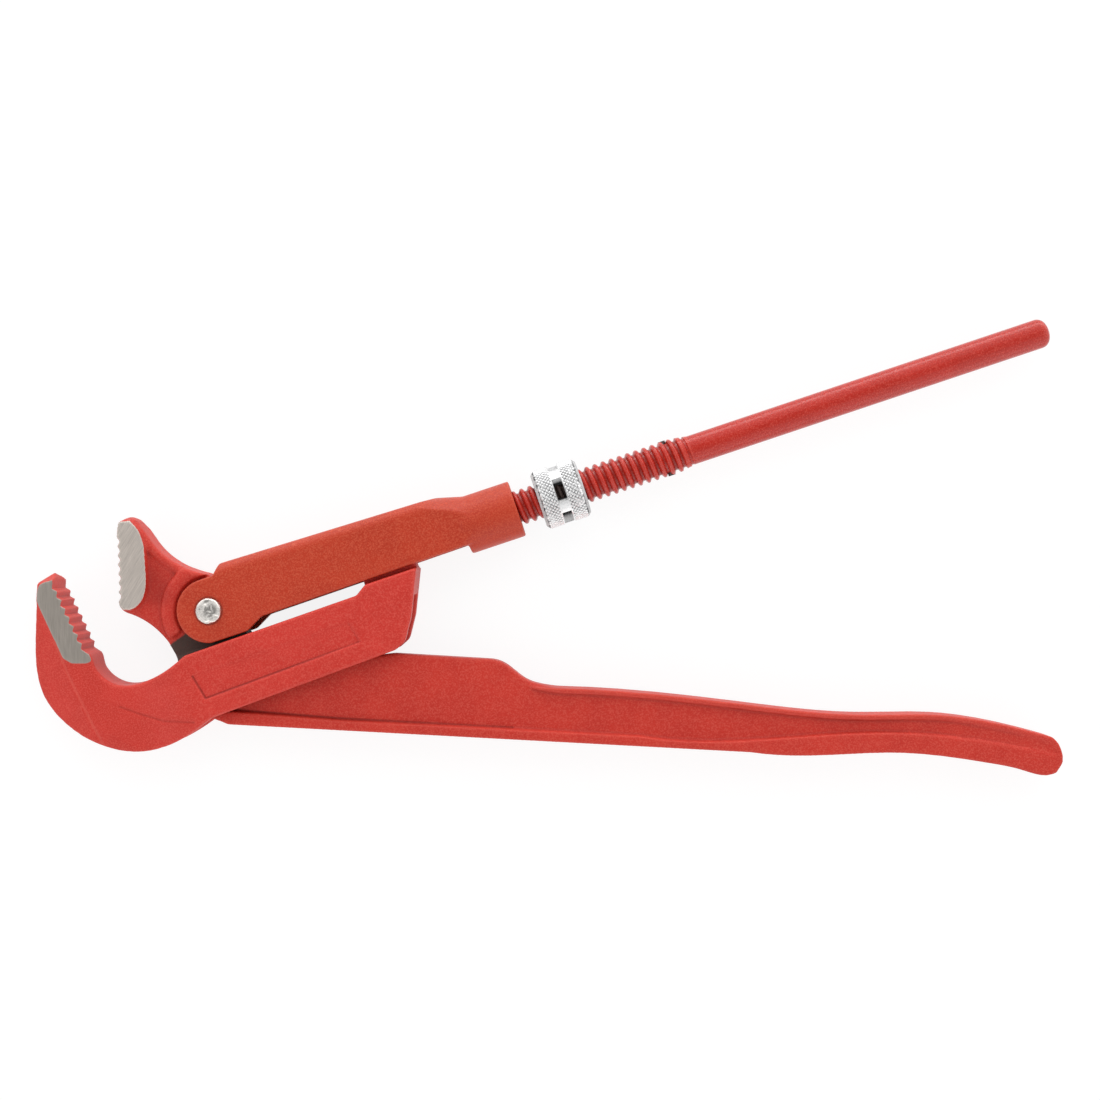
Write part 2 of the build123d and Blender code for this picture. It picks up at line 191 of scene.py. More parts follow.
def make_coat_texture():
    """Height of the peel with some grit on it, slow clouds of colour and fine specks."""
    group, into, out = start_group("coat_texture", [("Peel Size mm", 1.0)], ["Height", "Cloud", "Speck"])
    where = add_node(group, "ShaderNodeTexCoord").outputs["Object"]
    peel_scale = sums(group, "DIVIDE", mm_per_metre, into.outputs["Peel Size mm"])
    peel = noise_at(group, where, peel_scale, 2.0, 0.6)
    grit = noise_at(group, where, grit_scale, 1.0, 0.5)
    cloud = noise_at(group, where, cloud_scale, 3.0, 0.6)
    speck = noise_at(group, where, speck_scale, 2.0, 0.7)
    group.links.new(mix_value(group, grit_share, peel, grit), out.inputs["Height"])
    group.links.new(ramp_between(group, cloud, 0.30, 0.70), out.inputs["Cloud"])
    group.links.new(ramp_between(group, speck, 0.42, 0.66), out.inputs["Speck"])
    return group


coat_texture = make_coat_texture()
print("group", coat_texture.name, "with", len(coat_texture.nodes), "nodes")

# %% Parallel lines left by a grinding wheel
coarse_line_scale, fine_line_scale = 1900.0, 5200.0


def make_grinding_lines():
    """Noise that is stretched along one direction until it turns into lines."""
    group, into, out = start_group("grinding_lines", [("Turn", 0.0), ("Stretch", 30.0)], ["Lines", "Height"])
    where = add_node(group, "ShaderNodeTexCoord").outputs["Object"]
    turn = {"Vector": where, "Angle": into.outputs["Turn"]}
    turned = add_node(group, "ShaderNodeVectorRotate", turn, rotation_type="Z_AXIS").outputs["Vector"]
    apart = add_node(group, "ShaderNodeSeparateXYZ", {"Vector": turned}).outputs
    along = sums(group, "DIVIDE", apart["X"], into.outputs["Stretch"])
    squeeze = {"X": along, "Y": apart["Y"], "Z": apart["Z"]}
    squeezed = add_node(group, "ShaderNodeCombineXYZ", squeeze).outputs["Vector"]
    coarse = noise_at(group, squeezed, coarse_line_scale, 3.0, 0.65)
    fine = noise_at(group, squeezed, fine_line_scale, 2.0, 0.6)
    lines = mix_value(group, 0.5, coarse, fine)
    group.links.new(ramp_between(group, lines, 0.28, 0.72), out.inputs["Lines"])
    group.links.new(lines, out.inputs["Height"])
    return group


grinding_lines = make_grinding_lines()
print("group", grinding_lines.name, "with", len(grinding_lines.nodes), "nodes")

# %% Masks for proud edges and sunk corners
flat_bend = 0.5
least_bend = 0.01


def make_edge_and_hollow():
    """Blender's pointiness is one half on a flat face, more on an edge and less in a corner."""
    group, into, out = start_group("edge_and_hollow", [("Reach", 0.06)], ["Edge", "Hollow"])
    bend = add_node(group, "ShaderNodeNewGeometry").outputs["Pointiness"]
    proud = sums(group, "SUBTRACT", bend, flat_bend)
    sunk = sums(group, "SUBTRACT", flat_bend, bend)
    for amount, output in ((proud, "Edge"), (sunk, "Hollow")):
        past = sums(group, "SUBTRACT", amount, least_bend)
        group.links.new(sums(group, "DIVIDE", past, into.outputs["Reach"], clamp=True), out.inputs[output])
    return group


edge_and_hollow = make_edge_and_hollow()
print("group", edge_and_hollow.name, "with", len(edge_and_hollow.nodes), "nodes")

# %% [markdown]
# ## The red powder coat
# Both forgings, the link and the rod wear the same kind of coat in slightly different reds. The jaws are
# ground bare after painting, so the forgings need a mask that says where the steel shows. The masks are
# worked out from the place of each point: the ground pads stand at a known height above mid thickness.


# %% Place of a point measured from the pivot
def place_from_pivot(tree):
    """X, Y and Z sockets of the shaded point, measured from the pivot at mid thickness."""
    where = add_node(tree, "ShaderNodeTexCoord").outputs["Object"]
    moved = add_node(tree, "ShaderNodeVectorMath", {0: where, 1: pivot}, operation="SUBTRACT")
    apart = add_node(tree, "ShaderNodeSeparateXYZ", {"Vector": moved.outputs["Vector"]})
    return apart.outputs["X"], apart.outputs["Y"], apart.outputs["Z"]


def ragged_edge(tree, scale, detail):
    """A noise that makes the edge of a mask uneven."""
    return noise_at(tree, add_node(tree, "ShaderNodeTexCoord").outputs["Object"], scale, detail)


# %% Masks of the ground pads
hook_pad_level = (8.25, 8.35)
hook_swell = -47.0
jaw_pad_level = (8.2, 8.3)
ring_reach = 21.0


def hook_pad(tree):
    """Mask of the ground sides of the hook jaw: proud of the hook and beyond its swell."""
    x, _, z = place_from_pivot(tree)
    proud = ramp_mm(tree, sums(tree, "ABSOLUTE", z), *hook_pad_level)
    return times(tree, proud, sums(tree, "LESS_THAN", x, hook_swell * millimetre))


def swing_jaw_pad(tree):
    """Mask of the ground sides of the swinging jaw: as proud as the ring, but further from the pivot."""
    x, y, z = place_from_pivot(tree)
    proud = ramp_mm(tree, sums(tree, "ABSOLUTE", z), *jaw_pad_level)
    return times(tree, proud, sums(tree, "GREATER_THAN", length_of(tree, x, y), ring_reach * millimetre))


# %% Masks of the steel that the paint never reached
ring_end = math.radians(197.0)
ragged_width = 1.5 * millimetre


def unpainted_neck(tree):
    """Mask of the lever's neck, which slides in the slot and carries no paint below the ring."""
    x, y, _ = place_from_pivot(tree)
    ragged = ragged_edge(tree, 500.0, 3.0)
    below = sums(tree, "SUBTRACT", times(tree, y, math.cos(ring_end)), times(tree, x, math.sin(ring_end)))
    below = sums(tree, "ADD", below, times(tree, sums(tree, "SUBTRACT", ragged, 0.5), ragged_width))
    return times(tree, ramp_mm(tree, below, 1.2, 1.9), ramp_mm(tree, y, -34.0, -31.0))


def thread_under_nut(tree):
    """Mask of the rod's thread where the nut stood when the tool was painted."""
    x, _, _ = place_from_pivot(tree)
    ragged = ragged_edge(tree, 700.0, 2.0)
    off_centre = sums(tree, "ABSOLUTE", sums(tree, "SUBTRACT", x, nut_from_pivot))
    off_centre = sums(tree, "ADD", off_centre, times(tree, ragged, ragged_width))
    fade = 0.3 * millimetre
    return ramp_between(tree, off_centre, nut_half + fade, nut_half - fade)


# %% [markdown]
# The forgings also carry faint lines: a pale ridge down the hook, a crease at its heel, the foot of the
# sunk panel and the root of the lever's flange. The ridge gets a painted highlight, and the creases, the panel's
# foot, the flange's root and the dished web get painted shade, and a painted shadow rings the rivet's head.
# The same corner lists are used again later to press the lines into the skins.

# %% Masks of painted shade and highlight on the forging's lines, its dished web and the rivet's rim
hook_ridge = [(-63.6, 8.0), (-62.6, -6.3), (-58.4, -37.5)]
heel_crease = [(-46.7, -25.3), (-40.3, -30.4), (-31.5, -36.2), (-19.5, -40.5)]
panel_foot = [(-14.1, -22.9), (-12.0, -32.8), (53.4, -30.9)]
panel_end = [(53.2, -29.6), (51.6, -22.6)]
flange_root = [(-10.8, -38.4), (35.3, -58.1), (100.2, -83.7)]
dished_web = [(-20.5, 20.5), (-18.5, 14.0)]
full_share = 0.2


def near_line(tree, corners, half_width_mm):
    """Mask that is full on a line of corners, in mm from the pivot, and fades out beside it."""
    x, y, _ = place_from_pivot(tree)
    nearest = 1.0
    for (start_x, start_y), (end_x, end_y) in zip(corners, corners[1:]):
        run_x = (end_x - start_x) * millimetre
        run_y = (end_y - start_y) * millimetre
        from_x = sums(tree, "SUBTRACT", x, start_x * millimetre)
        from_y = sums(tree, "SUBTRACT", y, start_y * millimetre)
        dot = sums(tree, "MULTIPLY_ADD", from_x, run_x, times(tree, from_y, run_y))
        along = sums(tree, "DIVIDE", dot, run_x * run_x + run_y * run_y, clamp=True)
        off_x = sums(tree, "MULTIPLY_ADD", along, -run_x, from_x)
        off_y = sums(tree, "MULTIPLY_ADD", along, -run_y, from_y)
        nearest = sums(tree, "MINIMUM", length_of(tree, off_x, off_y), nearest)
    return ramp_mm(tree, nearest, half_width_mm, full_share * half_width_mm)


def hook_line_shade_and_highlight(tree):
    """How dark the painted shade is in the hook's crease and along the panel's foot, and how pale the painted
    highlight on its ridge is.
    """
    x, _, z = place_from_pivot(tree)
    panel = times(tree, near_line(tree, panel_foot, 0.70), sums(tree, "GREATER_THAN", z, 0.0))
    panel = times(tree, panel, ramp_mm(tree, x, 60, 20))
    crease = times(tree, near_line(tree, heel_crease, 0.85), 0.30)
    return sums(tree, "MAXIMUM", panel, crease), times(tree, near_line(tree, hook_ridge, 0.85), 0.75)


def lever_line_shade(tree):
    """How dark the painted shade is on the lever's dished web and along its flange's root."""
    x, _, _ = place_from_pivot(tree)
    dish = times(tree, near_line(tree, dished_web, 9.0), 0.60)
    root = times(tree, near_line(tree, flange_root, 0.80), ramp_mm(tree, x, 90, 30))
    return sums(tree, "MAXIMUM", dish, root), 0.0


def rivet_ring_shadow(tree):
    """How dark the painted shadow is on the link round the rivet's head."""
    x, y, _ = place_from_pivot(tree)
    return ramp_mm(tree, length_of(tree, x, y), 6.2, 5.5), 0.0


# %% Recipe of the coat, with bare steel where a mask asks for it
# Weights of the specks, of the edges' wear and painted highlight, and of the painted line shade and highlight; the
# two darkening shares are for the hollows' dirt and painted shade and for the painted crease shade.
speck_weight, edge_weight, line_weight = 0.50, 0.40, 0.55
dust_and_shade_dark, crease_shade = 0.22, 0.40
coat_roughness_spread = 0.18
ground_roughness, ground_metallic = 0.46, 0.75
dark_steel, dark_roughness, dark_metallic = (0.082, 0.052, 0.044), 0.55, 0.25
coat_relief = 0.24 * millimetre


def red_coat(
    name, red, deep_red, pale_red, peel_mm, bare_mask=None, steel=None, turn=0.0, dark_mask=None, lines=None,
    shine=0.28, smoothest=0.42, dust_and_shade=0.75, relief=0.85,
):
    """Powder coat with orange peel, edges painted paler (wear and painted highlight), hollows painted darker (dusty
    dirt and painted shade), painted line shade and highlight and, where masked, ground or dark steel.
    """
    material = bpy.data.materials.new(name)
    material.use_nodes = True
    tree = material.node_tree
    finish = tree.nodes["Principled BSDF"]
    finish.inputs["Specular IOR Level"].default_value = shine
    coat = add_node(tree, "ShaderNodeGroup", node_tree=coat_texture)
    coat.inputs["Peel Size mm"].default_value = peel_mm
    bends = add_node(tree, "ShaderNodeGroup", node_tree=edge_and_hollow)
    colour = mix_colour(tree, coat.outputs["Cloud"], deep_red, red)
    colour = mix_colour(tree, times(tree, coat.outputs["Speck"], speck_weight), colour, pale_red)
    # Edges are painted paler, partly wear and partly a painted highlight; hollows are painted darker, partly dusty
    # dirt and partly painted shade.
    colour = mix_colour(tree, times(tree, bends.outputs["Edge"], edge_weight), colour, pale_red)
    colour = mix_colour(tree, times(tree, bends.outputs["Hollow"], dust_and_shade), colour, shade_of(deep_red, dust_and_shade_dark))
    # Painted shade along the creases, the panel's foot, the dished web and round the rivet, and a painted highlight
    # on the ridge.
    if lines:
        crease, ridge = lines(tree)
        colour = mix_colour(tree, times(tree, crease, line_weight), colour, shade_of(deep_red, crease_shade))
        colour = mix_colour(tree, times(tree, ridge, line_weight), colour, pale_red)
    roughness = spread(tree, coat.outputs["Speck"], smoothest, smoothest + coat_roughness_spread)
    metallic = 0.0
    height = coat.outputs["Height"]
    if bare_mask:
        bare = bare_mask(tree)
        grind = add_node(tree, "ShaderNodeGroup", node_tree=grinding_lines)
        grind.inputs["Turn"].default_value = turn
        steel_colour = mix_colour(tree, grind.outputs["Lines"], shade_of(steel, 0.84), shade_of(steel, 1.16))
        colour = mix_colour(tree, bare, colour, steel_colour)
        roughness = mix_value(tree, bare, roughness, ground_roughness)
        metallic = times(tree, bare, ground_metallic)
        height = mix_value(tree, bare, height, grind.outputs["Height"])
    if dark_mask:
        dark = dark_mask(tree)
        colour = mix_colour(tree, dark, colour, dark_steel)
        roughness = mix_value(tree, dark, roughness, dark_roughness)
        metallic = sums(tree, "MAXIMUM", metallic, times(tree, dark, dark_metallic))
    tree.links.new(colour, finish.inputs["Base Color"])
    tree.links.new(roughness, finish.inputs["Roughness"])
    if bare_mask or dark_mask:
        tree.links.new(metallic, finish.inputs["Metallic"])
    bump = add_node(tree, "ShaderNodeBump", {"Height": height, "Strength": relief, "Distance": coat_relief})
    tree.links.new(bump.outputs["Normal"], finish.inputs["Normal"])
    return material


# %% Mix the four coats
hook_coat = red_coat(
    "hook_coat", (0.64, 0.040, 0.028), (0.57, 0.033, 0.022), (0.76, 0.115, 0.085), 1.1,
    bare_mask=hook_pad, steel=(0.40, 0.36, 0.32), turn=-1.25, lines=hook_line_shade_and_highlight,
)
lever_coat = red_coat(
    "lever_coat", (0.60, 0.036, 0.022), (0.54, 0.030, 0.019), (0.73, 0.115, 0.080), 1.1,
    bare_mask=swing_jaw_pad, steel=(0.64, 0.575, 0.52), turn=-0.70, dark_mask=unpainted_neck, lines=lever_line_shade,
)
link_coat = red_coat(
    "link_coat", (0.52, 0.040, 0.013), (0.47, 0.034, 0.011), (0.69, 0.12, 0.056), 1.0,
    lines=rivet_ring_shadow, shine=0.36, smoothest=0.36,
)
rod_coat = red_coat(
    "rod_coat", (0.50, 0.018, 0.009), (0.45, 0.015, 0.007), (0.69, 0.085, 0.056), 1.1,
    dark_mask=thread_under_nut, shine=0.50, smoothest=0.14, dust_and_shade=0.50, relief=0.45,
)
print("coats:", [m.name for m in (hook_coat, lever_coat, link_coat, rod_coat)])

# %% [markdown]
# ## Bright plate and plain steel
# The nut and the rivet are plated bright, and the small stop pin is plain dark steel. All three are metal,
# so their colour is that of their reflections, broken up by fine handling marks and by painted shade in
# their hollows, and on the nut also by the painted shade and painted reflection of its mask.

# %% Sizes of the nut, and the masks of its grooves and inner walls
land_radius = (nut_high.z - nut_low.z) / 2
band_radius = land_radius - 0.5 * millimetre
band_half = 2.3 * millimetre
knurl_depth = 0.42 * millimetre
deepest_groove = 0.8 * millimetre
end_margin = 0.3 * millimetre
# How dark the painted reflection on the chamfered ends is.
end_shade = 0.40
print("nut is", round(2 * land_radius / millimetre, 1), "mm across, its knurl", knurl_depth / millimetre, "mm deep")


def nut_painted_shade(tree):
    """Mask of painted shade in the nut's grooves and deep inside its windows, and of a painted dark reflection on
    its chamfered ends, and a mask of its duller cut walls.
    """
    x, y, z = place_from_pivot(tree)
    off_centre = sums(tree, "ABSOLUTE", sums(tree, "SUBTRACT", x, nut_from_pivot))
    sunk = sums(tree, "SUBTRACT", land_radius, length_of(tree, y, z))
    patchy = ragged_edge(tree, 420.0, 2.0)
    # Painted shade in the knurl's grooves, made patchy by a noise.
    in_groove = ramp_between(tree, sunk, 0.50 * knurl_depth, 1.00 * knurl_depth)
    in_groove = times(tree, in_groove, ramp_between(tree, patchy, 0.30, 0.60))
    beside_band = sums(tree, "GREATER_THAN", off_centre, band_half)
    on_land = times(tree, beside_band, sums(tree, "LESS_THAN", sunk, deepest_groove))
    between_ends = sums(tree, "LESS_THAN", off_centre, nut_half - end_margin)
    # Painted shade deep inside the nut, seen through its windows.
    inside = times(tree, ramp_mm(tree, sunk, 2.6, 4.2), between_ends)
    # A painted dark reflection on the chamfered ends.
    at_end = ramp_between(tree, off_centre, nut_half - 1.5 * millimetre, nut_half - 1.1 * millimetre)
    dark = sums(tree, "MAXIMUM", times(tree, in_groove, on_land), inside)
    cut_wall = times(tree, ramp_mm(tree, sunk, 0.6, 1.0), between_ends)
    return sums(tree, "MAXIMUM", dark, times(tree, at_end, end_shade)), cut_wall


# %% Recipe of a metal finish
mark_weight, hollow_weight = 0.35, 0.7
metal_roughness_spread = 0.14
groove_shade = 0.2
dull_roughness, dull_metallic = 0.60, 0.3
mark_strength, mark_relief = 0.25, 0.05 * millimetre


def metal(name, colour, dark_colour, roughness, mark_size_mm, dark_mask=None):
    """Bare or plated metal with cloudy roughness, fine marks, and painted shade in its hollows and in the masked
    places.
    """
    material = bpy.data.materials.new(name)
    material.use_nodes = True
    tree = material.node_tree
    finish = tree.nodes["Principled BSDF"]
    finish.inputs["Metallic"].default_value = 1.0
    marks = add_node(tree, "ShaderNodeGroup", node_tree=coat_texture)
    marks.inputs["Peel Size mm"].default_value = mark_size_mm
    bends = add_node(tree, "ShaderNodeGroup", node_tree=edge_and_hollow)
    shade = mix_colour(tree, times(tree, marks.outputs["Speck"], mark_weight), colour, dark_colour)
    # Hollows are painted darker as painted shade.
    shade = mix_colour(tree, times(tree, bends.outputs["Hollow"], hollow_weight), shade, dark_colour)
    rough = spread(tree, marks.outputs["Cloud"], roughness, roughness + metal_roughness_spread)
    if dark_mask:
        dark, dull = dark_mask(tree)
        # Where the mask asks, painted shade and a painted dark reflection darken the colour.
        shade = mix_colour(tree, dark, shade, shade_of(dark_colour, groove_shade))
        rough = mix_value(tree, dull, rough, dull_roughness)
        tree.links.new(mix_value(tree, dull, 1.0, dull_metallic), finish.inputs["Metallic"])
    relief = {"Height": marks.outputs["Height"], "Strength": mark_strength, "Distance": mark_relief}
    bump = add_node(tree, "ShaderNodeBump", relief)
    tree.links.new(shade, finish.inputs["Base Color"])
    tree.links.new(rough, finish.inputs["Roughness"])
    tree.links.new(bump.outputs["Normal"], finish.inputs["Normal"])
    return material


bright_plate = metal("bright_plate", (0.95, 0.95, 0.95), (0.42, 0.42, 0.43), 0.24, 0.9, nut_painted_shade)
rivet_plate = metal("rivet_plate", (0.74, 0.71, 0.67), (0.22, 0.20, 0.18), 0.14, 1.6)
pin_steel = metal("pin_steel", (0.16, 0.15, 0.145), (0.06, 0.055, 0.05), 0.42, 0.6)
print("metals:", [m.name for m in (bright_plate, rivet_plate, pin_steel)])

# %% [markdown]
# ## The forgings
# A drop forging has no sharp edge anywhere: the die rounds every corner, and the thick coat rounds it again.
# Bevelling the CAD edges one by one would leave cracks where many short edges meet, so each forging is a
# merged copy of its CAD solid, rebuilt as one skin of small even faces and then relaxed a little. That
# rounds every edge by about half a millimetre and leaves all the sizes alone. The tooth rows are cut after
# forging, so they are kept out of the relaxing and stay sharp. Last, the faint lines are pressed in.


# %% Skin a CAD solid with small even faces
def add_object(name, data):
    """A new object in the scene, at the origin."""
    thing = bpy.data.objects.new(name, data)
    bpy.context.scene.collection.objects.link(thing)
    return thing


def even_skin(node_name, face_size_mm):
    """A mesh of small even faces over a merged copy of a CAD solid."""
    merged = nodes_cad[node_name].data.copy()
    shape = bmesh.new()
    shape.from_mesh(merged)
    bmesh.ops.remove_doubles(shape, verts=shape.verts, dist=0.0005 * millimetre)
    shape.to_mesh(merged)
    shape.free()
    blank = add_object("blank", merged)
    skin = blank.modifiers.new("even_skin", "REMESH")
    skin.mode = "VOXEL"
    skin.voxel_size = face_size_mm * millimetre
    bpy.context.view_layer.update()
    mesh = bpy.data.meshes.new_from_object(blank.evaluated_get(bpy.context.evaluated_depsgraph_get()))
    bpy.data.objects.remove(blank)
    return mesh


# %% Find the points beside a line, and those in the jaw's hollow
def gap_to(point, start, end):
    """How far a point is from the line between two others, seen from the side."""
    along = max(0.0, min(1.0, (point - start).dot(end - start) / (end - start).length_squared))
    return (point - start.lerp(end, along)).length


def beside_line(place, start, end, reach_mm):
    """Is a place within reach of the line from start to end, in mm from the pivot?"""
    point = Vector((place.x - pivot.x, place.y - pivot.y)) / millimetre
    return gap_to(point, Vector(start), Vector(end)) < reach_mm


def in_jaw_hollow(place):
    """Is a place on the dished part of the swinging jaw, beside its ground pad and over the hub?"""
    across = (place - pivot) / millimetre
    below_pad = abs(across.z) < jaw_pad_level[0]
    return across.x < 6.0 and across.y > -8.0 and (below_pad or across.xy.length < ring_reach)


# %% Press a line into a skin
broad_face = 0.6


def press_line(shape, corners, half_width_mm, depth_mm, front_only=False):
    """Press a line of corners, in mm from the pivot, into the broad faces; a negative depth raises it."""
    shape.normal_update()
    corners = [Vector(corner) for corner in corners]
    reach = 3 * half_width_mm
    low = Vector((min(c.x for c in corners) - reach, min(c.y for c in corners) - reach))
    high = Vector((max(c.x for c in corners) + reach, max(c.y for c in corners) + reach))
    pressed = 0
    for vert in shape.verts:
        point = ((vert.co - pivot) / millimetre).xy
        in_box = low.x < point.x < high.x and low.y < point.y < high.y
        if not in_box or abs(vert.normal.z) < broad_face or (front_only and vert.normal.z < 0):
            continue
        gap = min(gap_to(point, start, end) for start, end in zip(corners, corners[1:]))
        if gap < reach:
            depth = depth_mm * millimetre * math.exp(-((gap / half_width_mm) ** 2))
            vert.co.z -= math.copysign(depth, vert.normal.z)
            pressed += 1
    print("pressed a line into", pressed, "points")


# %% Relax the edges, but not the teeth
def relax(shape, verts, passes):
    """Draw points towards their neighbours, a few times over."""
    for _ in range(passes):
        bmesh.ops.smooth_vert(
            shape, verts=verts, factor=0.5, use_axis_x=True, use_axis_y=True, use_axis_z=True
        )


def softened(
    node_name, name, body, material, face_size_mm, passes, teeth=None, soft_spot=None, soft_passes=0, lines=()
):
    """Make a soft-edged stand-in for a CAD node, riding on the same body."""
    mesh = even_skin(node_name, face_size_mm)
    mesh.name = name
    shape = bmesh.new()
    shape.from_mesh(mesh)
    loose = [v for v in shape.verts if not (teeth and beside_line(v.co, *teeth))]
    relax(shape, loose, passes)
    relax(shape, [v for v in loose if soft_spot and soft_spot(v.co)], soft_passes)
    for line in lines:
        press_line(shape, *line)
    sharp = len(shape.verts) - len(loose)
    shape.to_mesh(mesh)
    shape.free()
    mesh.materials.clear()
    mesh.materials.append(material)
    mesh.shade_smooth()
    piece = add_object(name, mesh)
    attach(piece, body)
    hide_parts(node_name)
    mesh.calc_loop_triangles()
    print(name, "has", len(mesh.loop_triangles), "triangles,", sharp, "points kept sharp")


# %% Soften the frame, the lever and the link
hook_teeth = ((-57.4, 31.0), (-54.2, 0.8), 3.2)
swing_jaw_teeth = ((-26.3, 41.5), (-33.7, 14.0), 2.6)
frame_lines = [
    (hook_ridge, 0.45, -0.26),
    (heel_crease, 0.55, 0.28),
    (panel_foot, 0.50, 0.26, True),
    (panel_end, 0.50, 0.14, True),
]
softened(
    "hook_jaw_frame", "forged_frame", "hook_lever", hook_coat, 0.52, 4, hook_teeth, lines=frame_lines
)
softened(
    "jaw_lever", "forged_lever", "jaw_lever", lever_coat, 0.63, 3, swing_jaw_teeth,
    soft_spot=in_jaw_hollow, soft_passes=11, lines=[(flange_root, 0.50, 0.40)],
)
softened("sleeve_link", "cast_link", "link", link_coat, 0.50, 4)

# %% [markdown]
# ## Rod and pin
# The rod's thread and the pin across it are cut to size in the CAD model, and they keep those shapes. They
# only need their finishes.

# %% Finish the rod and the pin
for node_name, material in (("threaded_handle_rod", rod_coat), ("nut_stop_pin", pin_steel)):
    nodes_cad[node_name].data.materials.clear()
    nodes_cad[node_name].data.materials.append(material)
    print(node_name, "wears", material.name)

# %% [markdown]
# ## The knurled nut
# The nut is a ring turned on a lathe: two lands with a diamond knurl, a lower smooth band between them, and
# five windows through that band. A lathe is a spin in Blender: the half section is drawn once, as a loop
# of edges, and spun about the rod axis. The knurl is pressed in afterwards by moving the points of the
# lands, so that the diamonds are real facets that sparkle. The bore is left plain, because the nut hides
# the thread in it.

# %% Helpers that spin a half section and finish a shape
weld = 0.001 * millimetre


def spin_round(shape, axis, steps):
    """Spin a half section one full turn about an axis through the origin, and close the seam."""
    bmesh.ops.spin(
        shape, geom=shape.verts[:] + shape.edges[:], cent=(0, 0, 0), axis=axis,
        angle=2 * math.pi, steps=steps, use_merge=True, use_duplicate=False,
    )
    bmesh.ops.remove_doubles(shape, verts=shape.verts, dist=weld)
    bmesh.ops.recalc_face_normals(shape, faces=shape.faces)


def finished(shape, name, place, material):
    """Move a shape to its place and give it out as an object with one finish."""
    mesh = bpy.data.meshes.new(name)
    bmesh.ops.translate(shape, verts=shape.verts, vec=place)
    shape.to_mesh(mesh)
    shape.free()
    mesh.materials.append(material)
    return add_object(name, mesh)


# %% Draw the half section of the nut
nut_middle = (nut_low + nut_high) / 2
bore_radius = 6.25 * millimetre
window_half = 1.95 * millimetre
chamfer = 1.6 * millimetre
nut_section = [
    (-nut_half, bore_radius),
    (-nut_half, land_radius - chamfer),
    (-nut_half + chamfer, land_radius),
    (-band_half, land_radius),
    (-band_half, band_radius),
    (-window_half, band_radius),
    (window_half, band_radius),
    (band_half, band_radius),
    (band_half, land_radius),
    (nut_half - chamfer, land_radius),
    (nut_half, land_radius - chamfer),
    (nut_half, bore_radius),
    (window_half, bore_radius),
    (-window_half, bore_radius),
]
nut_shape = bmesh.new()
corners = [nut_shape.verts.new((x, 0, r)) for x, r in nut_section]
for first, second in zip(corners, corners[1:] + corners[:1]):
    nut_shape.edges.new((first, second))
print("half section of", len(corners), "corners")

# %% Cut the lands into short steps and spin the section
land_cuts = 30
nut_turn_steps = 384
land_edges = [e for e in nut_shape.edges if all(abs(v.co.z - land_radius) < 1e-7 for v in e.verts)]
bmesh.ops.subdivide_edges(nut_shape, edges=land_edges, cuts=land_cuts)
spin_round(nut_shape, (1, 0, 0), nut_turn_steps)
print("spun nut has", len(nut_shape.faces), "faces")

# %% Open the five windows through the smooth band
window_count = 5
window_step = 2 * math.pi / window_count
window_angle = math.asin(4.8 * millimetre / band_radius)
window_turn = math.radians(-7.0)


def turn_from_window(place):
    """The angle round the rod from the middle of the first window to a place."""
    return math.atan2(-place.y, place.z) - window_turn


def in_a_window(face):
    """Is this face of the band, or of the bore under it, inside one of the windows?"""
    centre = face.calc_center_median()
    if abs(centre.x) > window_half:
        return False
    return abs((turn_from_window(centre) + window_step / 2) % window_step - window_step / 2) < window_angle


openings = [f for f in nut_shape.faces if in_a_window(f)]
bmesh.ops.delete(nut_shape, geom=openings, context="FACES")
rims_by_window = {}
for rim in [e for e in nut_shape.edges if e.is_boundary]:
    turn = turn_from_window((rim.verts[0].co + rim.verts[1].co) / 2)
    rims_by_window.setdefault(round(turn / window_step) % window_count, []).append(rim)
for loop_edges in rims_by_window.values():
    bmesh.ops.bridge_loops(nut_shape, edges=loop_edges)
bmesh.ops.recalc_face_normals(nut_shape, faces=nut_shape.faces)
print("windows:", len(rims_by_window), "open edges left:", sum(e.is_boundary for e in nut_shape.edges))

# %% Press the diamond knurl into the lands
knurl_count = 46
knurl_pitch = 2 * math.pi * land_radius / knurl_count
land_start = band_half + 0.05 * millimetre


def groove(line):
    """1 on a knurling groove and 0 half way to the next."""
    return abs(2 * (line % 1.0) - 1)


for vert in nut_shape.verts:
    radius = math.hypot(vert.co.y, vert.co.z)
    if radius > land_radius - weld and abs(vert.co.x) > land_start:
        around = math.atan2(vert.co.y, vert.co.z) / (2 * math.pi) * knurl_count
        along = vert.co.x / knurl_pitch
        depth = max(groove(around + along), groove(around - along)) ** 2
        pressed = 1 - knurl_depth * depth / radius
        vert.co.y *= pressed
        vert.co.z *= pressed
knurled_nut = finished(nut_shape, "knurled_nut", nut_middle, bright_plate)
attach(knurled_nut, "nut")
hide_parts("adjusting_nut")
print("knurled nut has", len(knurled_nut.data.polygons), "faces")

# %% [markdown]
# ## The hammered rivet
# The rivet's head is closed by hammer blows, so its dome is a little flattened and dented. It is spun from
# a half section like the nut, and the dents are a slow noise that pushes the dome in.

